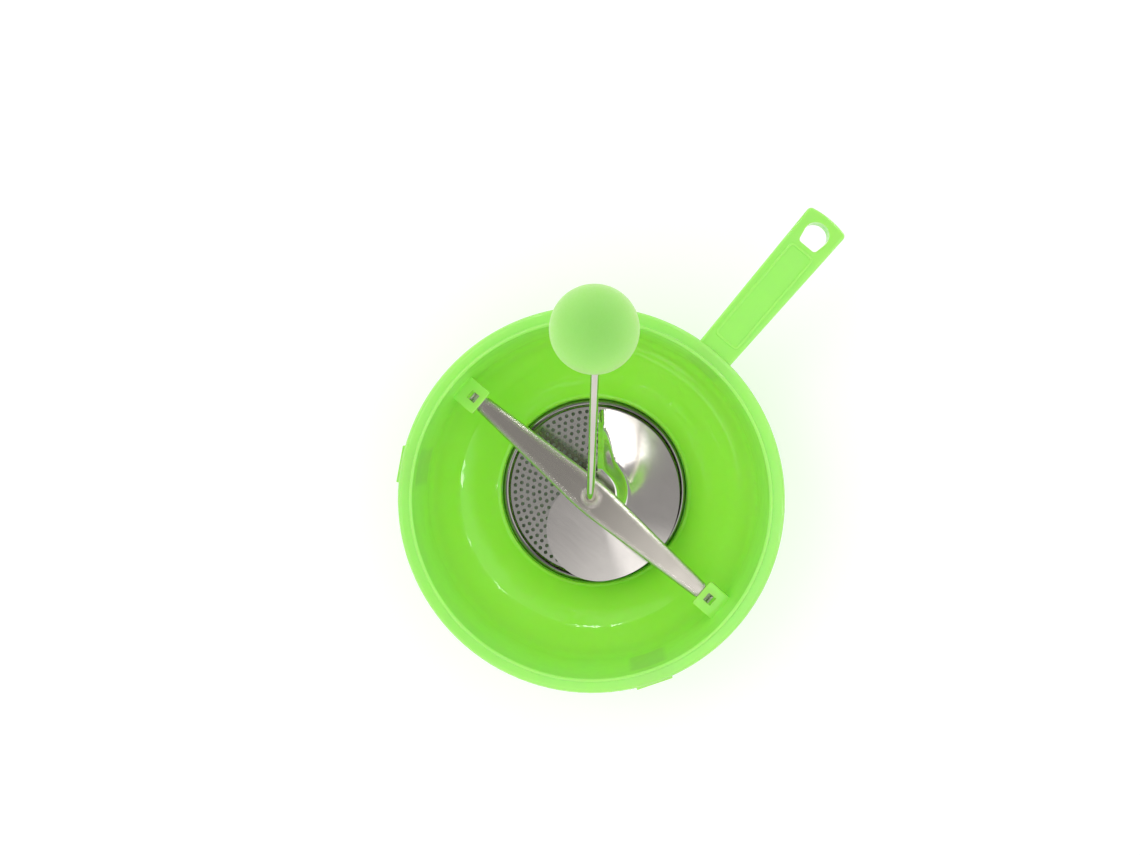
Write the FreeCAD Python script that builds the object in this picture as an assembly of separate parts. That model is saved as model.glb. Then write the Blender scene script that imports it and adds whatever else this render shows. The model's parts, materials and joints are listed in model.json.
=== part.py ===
# Rotary food mill: a moulded bowl with a handle, a sieve disc on a ledge in its floor, and a
# sprung crank rotor that a steel bridge holds down. Millimetres, +Z up. The origin is on the
# bowl's axis, on the plane of the base ring. The handle points along +X, the bridge along Y.
import FreeCAD, Part
import math
import os

Vector = FreeCAD.Vector
UP = Vector(0, 0, 1)
ORIGIN = Vector(0, 0, 0)
SAME = 1e-6                 # places closer than this are one place

# Sheet gauges, walls and the clearances that the fits share
WALL = 2.2                  # wall of the bowl, its handle and its lugs
BLADE_SHEET = 1.0
BRIDGE_SHEET = 1.0
DISC_SHEET = 0.8
RUNNING_GAP = 0.05          # radial, where a piece turns on the rod
SEAT_GAP = 0.05             # between faces that rest on each other
SLIP_GAP = 0.3              # between pieces that pass each other

# Sieve disc
DISC_RADIUS = 55.0
BEAD_WIDTH = 5.0            # half-round bead pressed round the edge
HOLE_RADIUS = 1.1
HOLE_PITCH = 4.2            # along a ring of holes
RING_PITCH = 3.65           # from ring to ring
HOLE_BORDER = 2.6           # from the bead to the centres of the outer ring
BARE_CENTRE = 9.0           # radius left without holes

# Bowl
BOWL_HEIGHT = 92.0
RIM_RADIUS = 103.0
RIM_WIDTH = 8.4             # inside of the wall to the rim's edge
LEDGE_HEIGHT = 14.0         # top of the ledge that carries the disc
LEDGE_WIDTH = 4.0
LEDGE_DEPTH = 2.6
SOCKET_DEPTH = 7.0          # wider mouth under the ledge, open downwards
SOCKET_STEP = 1.0
DISC_CLEARANCE = 0.4
SEAT_DEPTH = 3.2            # upright wall round the disc
SHOULDER = 2.0              # flat step round the top of the seat
CONE_ANGLE = 34.0           # floor of the bowl, degrees above level
KNEE_HEIGHT = 40.0          # where the floor would meet the wall, before rounding
KNEE_FILLET = 32.0
RIDGE_WIDTH = 1.8           # bead along the inner edge of the rim
RIDGE_HEIGHT = 1.4
RIDGE_ROUNDING = 0.47       # radius of the bead's edges, as a share of its width
LIP_DEPTH = 5.6
RIM_FILLET = 2.8
EDGE_FILLET = 0.4

# Rest lugs: stepped brackets that sit on the edge of a pot
LUG_ANGLES = (0.0, 120.0, 240.0)
LUG_WIDTH = 20.0
LUG_PROUD = 1.2             # how far a lug stands out past the rim
LUG_STEP = 7.0              # tread of each step, radially
LUG_STEPS = 2
LUG_RISE = 15.0             # height of each step
LUG_DROP = 6.0              # rim top to lug top
LUG_FIRST = 10.0            # lug top to the outer tread

# Handle
HANDLE_END = 194.5          # from the bowl's axis
HANDLE_ROOT_WIDTH = 20.3
HANDLE_END_WIDTH = 24.7
HANDLE_DEPTH = 9.0
HANDLE_DROP = 4.0           # rim top to handle top
HANDLE_BULGE = 1.6          # crown of the end edge
HANDLE_CORNER = 2.6
HANDLE_EDGE = 1.6
HANG_HOLE_LENGTH = 14.4
HANG_HOLE_NEAR = 10.8       # width at the flat side, towards the bowl
HANG_HOLE_FAR = 16.4
HANG_HOLE_MARGIN = 4.6      # hole to the handle's end
HANG_HOLE_CORNER = 2.0      # at the flat side
HANG_HOLE_BOW = 0.8         # radius at the far side, as a share of half its width
PANEL_LENGTH = 63.0
PANEL_WIDTH = 15.6
PANEL_CORNER = 3.0
BORDER_WIDTH = 1.4          # raised border round the panel
BORDER_HEIGHT = 0.5
BORDER_ROUNDING = 0.9       # radius of the border's edges, as a share of its height
PANEL_MARGIN = 2.5          # panel to the hang hole

# Bridge and the hoods that hold its ends
BRIDGE_HEIGHT = 68.0        # top of the bridge
BRIDGE_MID_WIDTH = 19.2
BRIDGE_END_WIDTH = 9.2
BRIDGE_WAIST = 14.0         # half length of the rounded middle
BRIDGE_CROWN = 0.6          # how far the middle swells past the taper
FLANGE_MID = 6.5            # depth of the turned-down edges
FLANGE_END = 3.5
BRIDGE_BEND = 2.2
NECK_WALL = 1.0             # neck plunged through the bridge for the rod
NECK_DEPTH = 3.0
NECK_ROUND = 0.9            # rounded entry of the neck
TONGUE_WIDTH = 8.0
TIP_WIDTH = 4.0
BRIDGE_TRAVEL = 3.0         # press that frees the tips from the windows
HOOD_WIDTH = 15.5
HOOD_DEPTH = 13.6
HOOD_ROOF = 2.0
HOOD_EDGE = 0.6             # rounding of the roof's upper edges
STOP_MARGIN = 3.0           # hood's side wall past the pressed bridge
WINDOW = 5.0
WINDOW_OFFSET = 5.8         # front edge to the window's centre

# Crank
ROD_RADIUS = 2.25
CRANK_ANGLE = 37.0          # arm at rest, degrees from the handle
CRANK_REACH = 85.0          # axis to knob centre
ARM_TILT = 36.0             # degrees above level
ROD_BEND = 9.0
SQUARE_SIDE = 3.16
PILOT_RADIUS = 1.6
STOP_RADIUS = 3.4           # collar swaged on the pin under the knob
STOP_THICKNESS = 1.2
STOP_RISE = 0.8             # bend to collar

# Knob
KNOB_RADIUS = 21.0
KNOB_WALL = 2.2
SLEEVE_RADIUS = 5.5
SLEEVE_TOP = 5.0            # past the middle of the knob
JOINT_DEPTH = 2.0           # lap between the two halves
LOCK_RADIUS = 5.2
LOCK_THICKNESS = 0.8
ROD_PAST_LOCK = 2.0

# Blade
BLADE_RADIUS = 50.3
BLADE_OFFSET = 0.9          # the outline's centre lies this far towards the raised side
BLADE_RISE = 22.0
BLADE_GAP = 0.35            # trailing edge over the disc
TRAIL_ANGLE = 4.3           # direction of the trailing edge, degrees from the crank arm
TRAIL_OFFSET = 3.0          # trailing edge behind its radius
LEAD_ANGLE = 147.0          # direction of the leading edge, degrees from the crank arm
LEAD_OFFSET = 15.0          # leading edge ahead of its radius
LEAD_FILLET = 30.0
TRAIL_FILLET = 5.0
HUB_RADIUS = 13.0           # flat middle that the rod clamps
HUB_STEP = 0.4              # how far it is drawn up over the raised lobe
SLOPE_RADIUS = 20.8         # where the slope round the hub runs out on the ramp
SLOPE_FLARE = 23.0          # how much further out it runs at the trailing edge
FLARE_SWEEP = 22.0          # sweep over which the flare dies away, degrees
RAMP_SWEEP = 165.0          # sweep at which the ramp reaches the level of the lobe, degrees
RAMP_EASE = 30.0            # sweep over which it levels out, degrees
LIP_RISE = 2.5              # bend of the sheet into the flange at its trailing edge
LIP_WIDTH = 3.8
LIP_FADE = 6.0              # the bend fades out towards the hub over this much radius
SHEET_SWEEP = 330.0         # sweep of the sheet before it is trimmed, degrees
SHEET_MARGIN = 1.0          # sheet past its trimmed rim
HUB_LAP = 2.0               # sheet into the hub
SWEEP_STEPS = 96
SWEEP_CROWDING = 1.8        # crowds the steps towards the trailing edge
RADIUS_STEPS = 24

# Washers, nut and spring on the rod
WASHER_THICKNESS = 1.0
CLAMP_RADIUS = 5.0
NUT_FLATS = 7.0
NUT_HEIGHT = 3.2
WIRE_RADIUS = 0.7
COIL_RADIUS = 6.6
COIL_TURNS = 7
END_PITCH = 1.9             # rise of the first and last turn
COIL_ARCS = 4               # pairs of arcs in each turn
ROTOR_LIFT = 5.0            # how far hard food can push the rotor up

# Heights and radii that follow from the sizes above
DISC_TOP = LEDGE_HEIGHT + DISC_SHEET
BLADE_LOW = DISC_TOP + BLADE_GAP
HUB_UNDER = BLADE_LOW + BLADE_RISE + HUB_STEP
HUB_TOP = HUB_UNDER + BLADE_SHEET
LOWER_WASHER = HUB_TOP + SEAT_GAP
BRIDGE_UNDER = BRIDGE_HEIGHT - BRIDGE_SHEET
UPPER_WASHER = BRIDGE_UNDER - SEAT_GAP - WASHER_THICKNESS
WASHER_RADIUS = BRIDGE_MID_WIDTH / 2 - BRIDGE_BEND    # fits the flat under the bridge
NECK_BORE = ROD_RADIUS + RUNNING_GAP
NECK_RADIUS = NECK_BORE + NECK_WALL
ROOF_HEIGHT = BRIDGE_HEIGHT + SEAT_GAP
ROD_STRAIGHT_TOP = BRIDGE_HEIGHT + SLIP_GAP
SEAT_RADIUS = DISC_RADIUS + DISC_CLEARANCE
SEAT_TOP = LEDGE_HEIGHT + SEAT_DEPTH
CONE_RADIUS = SEAT_RADIUS + SHOULDER
LEDGE_RADIUS = DISC_RADIUS - LEDGE_WIDTH
SOCKET_RADIUS = LEDGE_RADIUS + SOCKET_STEP
KNEE_RADIUS = CONE_RADIUS + (KNEE_HEIGHT - SEAT_TOP) / math.tan(math.radians(CONE_ANGLE))
MOUTH_RADIUS = RIM_RADIUS - RIM_WIDTH
LUG_REACH = RIM_RADIUS + LUG_PROUD
RIM_FLAT = BOWL_HEIGHT - RIDGE_HEIGHT
RIDGE_RADIUS = MOUTH_RADIUS + RIDGE_WIDTH
PILOT_TIP = LEDGE_HEIGHT - ROTOR_LIFT
HOOD_STOP = BRIDGE_SHEET + BRIDGE_TRAVEL + STOP_MARGIN
ARM_LEAN = 90.0 - ARM_TILT


def polar(radius, degrees, height=0.0):
    """Point at a radius and an angle round the bowl's axis."""
    angle = math.radians(degrees)
    return Vector(radius * math.cos(angle), radius * math.sin(angle), height)


def in_section(u, v):
    """Section plane: u is the radius, v the height."""
    return Vector(u, 0, v)


def in_plan(u, v):
    """Plan: u along X, v along Y."""
    return Vector(u, v, 0)


def rounded_outline(corners, place):
    """Closed wire through corners (u, v, fillet radius), each fillet an arc."""
    stops = []
    for i, (u, v, radius) in enumerate(corners):
        here = Vector(u, v, 0)
        behind = corners[i - 1]
        beyond = corners[(i + 1) % len(corners)]
        back = (Vector(behind[0], behind[1], 0) - here).normalize()
        ahead = (Vector(beyond[0], beyond[1], 0) - here).normalize()
        if radius == 0:
            stops.append((here, None, here))
            continue
        half = back.getAngle(ahead) / 2
        reach = radius / math.tan(half)
        depth = radius / math.sin(half) - radius
        middle = here + (back + ahead).normalize() * depth
        stops.append((here + back * reach, middle, here + ahead * reach))
    edges = []
    for i, (first, middle, last) in enumerate(stops):
        if middle is not None:
            arc = [place(p.x, p.y) for p in (first, middle, last)]
            edges.append(Part.Arc(*arc).toShape())
        following = stops[(i + 1) % len(stops)][0]
        if (following - last).Length > SAME:
            line = Part.LineSegment(place(last.x, last.y), place(following.x, following.y))
            edges.append(line.toShape())
    return Part.Wire(edges)


def revolved(corners):
    """Solid of revolution about the bowl's axis from a rounded section."""
    face = Part.Face(rounded_outline(corners, in_section))
    return face.revolve(ORIGIN, UP, 360)


def prism(wire, low, high):
    """Upright solid over a plan outline, between two heights."""
    face = Part.Face(wire)
    face.translate(Vector(0, 0, low))
    return face.extrude(Vector(0, 0, high - low))


def block(x0, x1, y0, y1, z0, z1):
    """Box between two corners."""
    return Part.makeBox(x1 - x0, y1 - y0, z1 - z0, Vector(x0, y0, z0))


def ring(inner, outer, low, high):
    """Flat washer or sleeve on the bowl's axis."""
    body = Part.makeCylinder(outer, high - low, Vector(0, 0, low))
    return body.cut(Part.makeCylinder(inner, high - low, Vector(0, 0, low)))


def turned(shape, degrees):
    """Copy of a shape, turned about the bowl's axis."""
    copy = shape.copy()
    copy.rotate(ORIGIN, UP, degrees)
    return copy


def edges_at(shape, test):
    """Edges of a shape whose middle point passes a test."""
    return [e for e in shape.Edges if test(e.CenterOfMass)]


# Bowl

def crossing(p, along_p, q, along_q):
    """Point where two lines of the section meet."""
    scale = along_p.x * along_q.y - along_p.y * along_q.x
    gap = q - p
    return p + along_p * ((gap.x * along_q.y - gap.y * along_q.x) / scale)


def outward(along):
    """Unit vector to the right of a direction in the section, which is out of the bowl."""
    return Vector(along.y, -along.x, 0)


def wall_lines():
    """Corner points of the bowl's inner and outer wall in the section."""
    foot = Vector(CONE_RADIUS, SEAT_TOP, 0)
    knee = Vector(KNEE_RADIUS, KNEE_HEIGHT, 0)
    mouth = Vector(MOUTH_RADIUS, BOWL_HEIGHT, 0)
    cone = (knee - foot).normalize()
    wall = (mouth - knee).normalize()
    outer_cone = foot + outward(cone) * WALL
    outer_wall = knee + outward(wall) * WALL
    upright = Vector(0, 1, 0)
    level = Vector(1, 0, 0)
    outer_seat = crossing(outer_cone, cone, Vector(SEAT_RADIUS + WALL, 0, 0), upright)
    outer_knee = crossing(outer_cone, cone, outer_wall, wall)
    outer_top = crossing(outer_wall, wall, Vector(0, RIM_FLAT - WALL, 0), level)
    return {"foot": foot, "knee": knee, "mouth": mouth,
            "outer_seat": outer_seat, "outer_knee": outer_knee, "outer_top": outer_top}


def wall_radius(height):
    """Inside radius of the upper wall at a height."""
    share = (height - KNEE_HEIGHT) / (BOWL_HEIGHT - KNEE_HEIGHT)
    return KNEE_RADIUS + share * (MOUTH_RADIUS - KNEE_RADIUS)


def bowl_shell():
    """Collar, ledge, floor, wall and rim as one turned section."""
    line = wall_lines()
    ledge_under = LEDGE_HEIGHT - LEDGE_DEPTH
    collar = SOCKET_RADIUS + WALL
    lip_inside = RIM_RADIUS - WALL
    lip_foot = RIM_FLAT - LIP_DEPTH
    ridge_round = RIDGE_ROUNDING * RIDGE_WIDTH
    return revolved([
        (SOCKET_RADIUS, 0, 0),
        (SOCKET_RADIUS, SOCKET_DEPTH, 0),
        (LEDGE_RADIUS, SOCKET_DEPTH + SOCKET_STEP, 0),
        (LEDGE_RADIUS, LEDGE_HEIGHT, EDGE_FILLET),
        (SEAT_RADIUS, LEDGE_HEIGHT, 0),
        (SEAT_RADIUS, SEAT_TOP, WALL / 2),
        (line["foot"].x, line["foot"].y, WALL),
        (line["knee"].x, line["knee"].y, KNEE_FILLET),
        (line["mouth"].x, line["mouth"].y, ridge_round),
        (RIDGE_RADIUS, BOWL_HEIGHT, ridge_round),
        (RIDGE_RADIUS, RIM_FLAT, EDGE_FILLET),
        (RIM_RADIUS, RIM_FLAT, RIM_FILLET),
        (RIM_RADIUS, lip_foot, EDGE_FILLET),
        (lip_inside, lip_foot, EDGE_FILLET),
        (lip_inside, RIM_FLAT - WALL, EDGE_FILLET),
        (line["outer_top"].x, line["outer_top"].y, EDGE_FILLET),
        (line["outer_knee"].x, line["outer_knee"].y, KNEE_FILLET + WALL),
        (line["outer_seat"].x, line["outer_seat"].y, WALL),
        (SEAT_RADIUS + WALL, ledge_under, EDGE_FILLET),
        (collar, ledge_under, EDGE_FILLET),
        (collar, 0, EDGE_FILLET),
    ])


def bowl_inside():
    """The room inside the bowl, which lugs and handle must stay out of."""
    line = wall_lines()
    return revolved([
        (0, LEDGE_HEIGHT, 0),
        (SEAT_RADIUS, LEDGE_HEIGHT, 0),
        (SEAT_RADIUS, SEAT_TOP, 0),
        (line["foot"].x, line["foot"].y, 0),
        (line["knee"].x, line["knee"].y, KNEE_FILLET),
        (line["mouth"].x, line["mouth"].y, 0),
        (0, BOWL_HEIGHT, 0),
    ])


def bowl_envelope():
    """The bowl's outside filled in, which the hoods must stay within."""
    line = wall_lines()
    return revolved([
        (0, LEDGE_HEIGHT, 0),
        (line["outer_seat"].x, LEDGE_HEIGHT, 0),
        (line["outer_seat"].x, line["outer_seat"].y, 0),
        (line["outer_knee"].x, line["outer_knee"].y, KNEE_FILLET + WALL),
        (line["outer_top"].x, line["outer_top"].y, 0),
        (0, line["outer_top"].y, 0),
    ])


def hood_front():
    """Radius of the hoods' front edge."""
    return wall_radius(ROOF_HEIGHT) - HOOD_DEPTH


def window_radius():
    """Radius of the middle of the hoods' windows."""
    return hood_front() + WINDOW_OFFSET


def hood():
    """Roof with a window, and a side wall that stops the bridge, at the +Y end."""
    half = HOOD_WIDTH / 2
    back = wall_radius(ROOF_HEIGHT) + WALL
    front = hood_front()
    roof = block(-half, half, front, back, ROOF_HEIGHT, ROOF_HEIGHT + HOOD_ROOF)
    corners = edges_at(roof, lambda p: abs(p.y - front) < SAME and abs(abs(p.x) - half) < SAME)
    roof = roof.makeFillet(WALL / 2, corners)
    top = ROOF_HEIGHT + HOOD_ROOF
    upper = edges_at(roof, lambda p: abs(p.z - top) < SAME and p.y < back - SAME)
    roof = roof.makeFillet(HOOD_EDGE, upper)
    stop = block(-half, WALL - half, front + WALL, back, ROOF_HEIGHT - HOOD_STOP, ROOF_HEIGHT)
    middle = window_radius()
    pane = WINDOW / 2
    window = block(-pane, pane, middle - pane, middle + pane,
                   ROOF_HEIGHT - HOOD_ROOF, ROOF_HEIGHT + 2 * HOOD_ROOF)
    return roof.fuse(stop).cut(window).common(bowl_envelope())


def lug():
    """Hollow stepped bracket under the rim, open downwards, with a web behind each step."""
    top = BOWL_HEIGHT - LUG_DROP
    inner = KNEE_RADIUS - LUG_STEPS * LUG_STEP
    profile = [in_section(inner, top), in_section(LUG_REACH, top)]
    treads = []
    for step in range(LUG_STEPS):
        radius = LUG_REACH - step * LUG_STEP
        tread = top - LUG_FIRST - step * LUG_RISE
        profile.append(in_section(radius, tread))
        profile.append(in_section(radius - LUG_STEP, tread))
        treads.append((radius, tread))
    profile.append(in_section(inner, treads[-1][1]))
    side = Part.Face(Part.makePolygon(profile + profile[:1]))
    side.translate(Vector(0, -LUG_WIDTH / 2, 0))
    body = side.extrude(Vector(0, LUG_WIDTH, 0))
    half = LUG_WIDTH / 2 - WALL
    for radius, tread in treads:
        pocket = block(radius - LUG_STEP, radius - WALL, -half, half, 0, top - WALL)
        body = body.cut(pocket)
    return body


def handle_plan(inset):
    """Handle outline, drawn in by an inset all round, with a crowned end."""
    root = KNEE_RADIUS
    end = HANDLE_END - HANDLE_BULGE - inset
    near = HANDLE_ROOT_WIDTH / 2 - inset
    far = HANDLE_END_WIDTH / 2 - inset
    tip = HANDLE_END - inset
    edges = [
        Part.LineSegment(in_plan(root, -near), in_plan(end, -far)).toShape(),
        Part.Arc(in_plan(end, -far), in_plan(tip, 0), in_plan(end, far)).toShape(),
        Part.LineSegment(in_plan(end, far), in_plan(root, near)).toShape(),
        Part.LineSegment(in_plan(root, near), in_plan(root, -near)).toShape(),
    ]
    return Part.Wire(edges)


def hang_hole_plan(margin):
    """Outline of the hang hole, flat towards the bowl and round towards the end."""
    far = HANDLE_END - HANG_HOLE_MARGIN + margin
    near = HANDLE_END - HANG_HOLE_MARGIN - HANG_HOLE_LENGTH - margin
    near_half = HANG_HOLE_NEAR / 2 + margin
    far_half = HANG_HOLE_FAR / 2 + margin
    near_round = HANG_HOLE_CORNER + margin
    far_round = HANG_HOLE_BOW * far_half
    return rounded_outline([
        (near, -near_half, near_round),
        (far, -far_half, far_round),
        (far, far_half, far_round),
        (near, near_half, near_round),
    ], in_plan)


def panel_plan(inset):
    """Rounded outline of the handle's panel, drawn in by an inset all round."""
    far = HANDLE_END - HANG_HOLE_MARGIN - HANG_HOLE_LENGTH - PANEL_MARGIN - inset
    near = far - PANEL_LENGTH + 2 * inset
    half = PANEL_WIDTH / 2 - inset
    corner = PANEL_CORNER - inset
    return rounded_outline([
        (near, -half, corner),
        (far, -half, corner),
        (far, half, corner),
        (near, half, corner),
    ], in_plan)


def handle():
    """Channel-section grip with a bordered panel on top and a hole to hang it by."""
    top = BOWL_HEIGHT - HANDLE_DROP
    foot = top - HANDLE_DEPTH
    body = prism(handle_plan(0), foot, top)
    near_end = HANDLE_END - 2 * HANDLE_BULGE
    corners = edges_at(body, lambda p: p.x > near_end and abs(p.y) > HANDLE_ROOT_WIDTH / 2
                       and foot < p.z < top)
    body = body.makeFillet(HANDLE_CORNER, corners)
    rim = edges_at(body, lambda p: abs(p.z - top) < SAME and p.x > KNEE_RADIUS + 1)
    body = body.makeFillet(HANDLE_EDGE, rim)
    hollow = prism(handle_plan(WALL), foot, top - WALL)
    eye = prism(hang_hole_plan(WALL), foot, top)
    body = body.cut(hollow.cut(eye))
    border = prism(panel_plan(0), top - WALL / 2, top + BORDER_HEIGHT)
    border = border.cut(prism(panel_plan(BORDER_WIDTH), top - WALL / 2, top + BORDER_HEIGHT))
    crest = edges_at(border, lambda p: abs(p.z - top - BORDER_HEIGHT) < SAME)
    body = body.fuse(border.makeFillet(BORDER_ROUNDING * BORDER_HEIGHT, crest))
    return body.cut(prism(hang_hole_plan(0), foot, top))


def bowl():
    """The whole moulding: shell, hoods, lugs and handle."""
    outside = [turned(lug(), angle) for angle in LUG_ANGLES]
    outside.append(handle())
    inside = bowl_inside()
    outside = [piece.cut(inside) for piece in outside]
    hoods = [hood(), turned(hood(), 180)]
    return bowl_shell().fuse(outside + hoods).removeSplitter()


# Sieve disc

def sieve_disc():
    """Flat plate with rings of holes, a hole for the pilot and a half-round bead at the edge."""
    bead_middle = DISC_RADIUS - BEAD_WIDTH / 2
    flat_radius = DISC_RADIUS - BEAD_WIDTH + DISC_SHEET / 2
    outline = [Part.Wire(Part.Circle(ORIGIN, UP, flat_radius).toShape())]
    pilot_hole = PILOT_RADIUS + SLIP_GAP
    outline.append(Part.Wire(Part.Circle(ORIGIN, UP, pilot_hole).toShape()))
    radius = DISC_RADIUS - BEAD_WIDTH - HOLE_BORDER
    row = 0
    while radius > BARE_CENTRE:
        count = round(2 * math.pi * radius / HOLE_PITCH)
        for i in range(count):
            centre = polar(radius, (i + 0.5 * (row % 2)) * 360 / count)
            outline.append(Part.Wire(Part.Circle(centre, UP, HOLE_RADIUS).toShape()))
        radius -= RING_PITCH
        row += 1
    plate = Part.makeFace(outline, "Part::FaceMakerBullseye")
    plate.translate(Vector(0, 0, LEDGE_HEIGHT))
    plate = plate.extrude(Vector(0, 0, DISC_SHEET))
    outer = BEAD_WIDTH / 2
    inner = outer - DISC_SHEET

    def on_bead(radius, degrees):
        angle = math.radians(degrees)
        return in_section(bead_middle + radius * math.cos(angle),
                          LEDGE_HEIGHT + radius * math.sin(angle))

    edges = [
        Part.Arc(on_bead(outer, 0), on_bead(outer, 90), on_bead(outer, 180)).toShape(),
        Part.LineSegment(on_bead(outer, 180), on_bead(inner, 180)).toShape(),
        Part.Arc(on_bead(inner, 180), on_bead(inner, 90), on_bead(inner, 0)).toShape(),
        Part.LineSegment(on_bead(inner, 0), on_bead(outer, 0)).toShape(),
    ]
    bead = Part.Face(Part.Wire(edges)).revolve(ORIGIN, UP, 360)
    return plate.fuse(bead)


# Blade

def smooth_step(share):
    """0 below 0, 1 above 1, and a smooth climb between."""
    share = min(1.0, max(0.0, share))
    return share * share * (3 - 2 * share)


def ramp_share(sweep):
    """Share of its rise that the ramp has climbed, with a parabola into the level lobe."""
    start = RAMP_SWEEP - RAMP_EASE
    full = RAMP_SWEEP - RAMP_EASE / 2
    if sweep <= start:
        return sweep / full
    rest = max(0.0, RAMP_SWEEP - sweep)
    return 1 - rest * rest / (2 * RAMP_EASE * full)


def blade_height(sweep, radius):
    """Underside of the blade: level at the hub, a slope round it, a ramp and a bend into the flange."""
    flare = SLOPE_FLARE * math.exp(-(sweep / FLARE_SWEEP) ** 2)
    share = smooth_step((radius - HUB_RADIUS) / (SLOPE_RADIUS + flare - HUB_RADIUS))
    ramp = LIP_RISE + (BLADE_RISE - LIP_RISE) * ramp_share(sweep)
    ahead = radius * math.sin(math.radians(min(sweep, 90.0))) - TRAIL_OFFSET
    bend = LIP_RISE * (1 - smooth_step(ahead / LIP_WIDTH))
    fade = smooth_step((radius - HUB_RADIUS) / LIP_FADE)
    return BLADE_LOW + share * ramp + (1 - share) * BLADE_RISE - bend * fade


def blade_surface():
    """Underside of the pressed sheet over the full sweep, before its outline is trimmed."""
    trail = CRANK_ANGLE + TRAIL_ANGLE
    inner = HUB_RADIUS - HUB_LAP
    outer = BLADE_RADIUS + 2 * BLADE_OFFSET + SHEET_MARGIN
    grid = []
    for i in range(SWEEP_STEPS + 1):
        sweep = SHEET_SWEEP * (i / SWEEP_STEPS) ** SWEEP_CROWDING
        line = []
        for j in range(RADIUS_STEPS + 1):
            radius = inner + (outer - inner) * j / RADIUS_STEPS
            line.append(polar(radius, trail - sweep, blade_height(sweep, radius)))
        grid.append(line)
    surface = Part.BSplineSurface()
    surface.interpolate(grid)
    return surface.toShape()


def blade_outline():
    """Plan of the blade: trailing edge, eccentric rim and a leading edge that rounds into it."""
    trail = CRANK_ANGLE + TRAIL_ANGLE
    lead = CRANK_ANGLE + LEAD_ANGLE
    shift = polar(BLADE_OFFSET, trail + 180)
    behind = polar(TRAIL_OFFSET, trail - 90)
    ahead = polar(LEAD_OFFSET, lead - 90)
    trail_end = rim_point(shift, behind, polar(1, trail))
    lead_end = rim_point(shift, ahead, polar(1, lead))
    lead_side = math.degrees(math.atan2(lead_end.y - shift.y, lead_end.x - shift.x))
    trail_side = math.degrees(math.atan2(trail_end.y - shift.y, trail_end.x - shift.x))
    sweep = (trail_side - lead_side) % 360
    over = shift + polar(BLADE_RADIUS, trail_side - sweep / 2)
    edges = [
        Part.LineSegment(behind, trail_end).toShape(),
        Part.Arc(trail_end, over, lead_end).toShape(),
        Part.LineSegment(lead_end, ahead).toShape(),
        Part.LineSegment(ahead, behind).toShape(),
    ]
    return Part.Wire(edges), trail_end, lead_end


def rim_point(centre, start, along):
    """Where a ray from start meets the blade's rim circle."""
    gap = start - centre
    half = gap.dot(along)
    reach = -half + math.sqrt(half * half - gap.dot(gap) + BLADE_RADIUS * BLADE_RADIUS)
    return start + along * reach


def blade_flange(surface):
    """Upright edge that scrapes the disc, from the trailing edge of the sheet down."""
    plate = block(HUB_RADIUS - HUB_LAP, BLADE_RADIUS, -TRAIL_OFFSET - BLADE_SHEET, -TRAIL_OFFSET,
                  BLADE_LOW, HUB_TOP)
    roof = surface.copy()
    roof.translate(UP * (BLADE_SHEET / 2))
    return turned(plate, CRANK_ANGLE + TRAIL_ANGLE).common(roof.extrude(UP * -HUB_TOP))


def blade():
    """Ramp that sweeps food down onto the disc, round the flat hub that the rod clamps."""
    outline, trail_end, lead_end = blade_outline()
    trim = prism(outline, 0, BOWL_HEIGHT)

    def upright_at(point):
        return edges_at(trim, lambda p: math.hypot(p.x - point.x, p.y - point.y) < SAME)

    trim = trim.makeFillet(LEAD_FILLET, upright_at(lead_end))
    trim = trim.makeFillet(TRAIL_FILLET, upright_at(trail_end))
    surface = blade_surface()
    wing = surface.extrude(UP * BLADE_SHEET).common(trim)
    wing = wing.fuse(blade_flange(surface).common(trim))
    hub = Part.makeCylinder(HUB_RADIUS, BLADE_SHEET, Vector(0, 0, HUB_UNDER))
    half = SQUARE_SIDE / 2 + RUNNING_GAP
    square_hole = turned(block(-half, half, -half, half, HUB_UNDER, HUB_TOP), CRANK_ANGLE)
    return wing.fuse(hub).cut(square_hole)


# Crank and knob

def on_crank(shape):
    """Turns a shape made along +X to the crank's angle at rest."""
    return turned(shape, CRANK_ANGLE)


def arm_ends():
    """Ends of the straight arm, and the foot of the knob's pin, with the arm along +X."""
    lean = math.radians(ARM_LEAN)
    out = ROD_BEND * (1 - math.cos(lean))
    rise = ROD_BEND * math.sin(lean)
    low = Vector(out, 0, ROD_STRAIGHT_TOP + rise)
    run = CRANK_REACH - 2 * out
    high = low + Vector(run, 0, run * math.tan(math.radians(ARM_TILT)))
    return low, high, Vector(CRANK_REACH, 0, high.z + rise)


def knob_centre():
    """Middle of the knob, with the arm along +X."""
    pin = arm_ends()[2]
    return pin + UP * (STOP_RISE + STOP_THICKNESS + SLIP_GAP + KNOB_RADIUS)


def lock_height():
    """Underside of the knob's lock washer, from the knob's middle."""
    return SLEEVE_TOP + SLIP_GAP


def rod_bend(foot, middle):
    """Bend of the rod: its round section at a foot point, turned about a middle point."""
    section = Part.Face(Part.Wire(Part.Circle(foot, UP, ROD_RADIUS).toShape()))
    return section.revolve(middle, Vector(0, 1, 0), ARM_LEAN)


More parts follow.
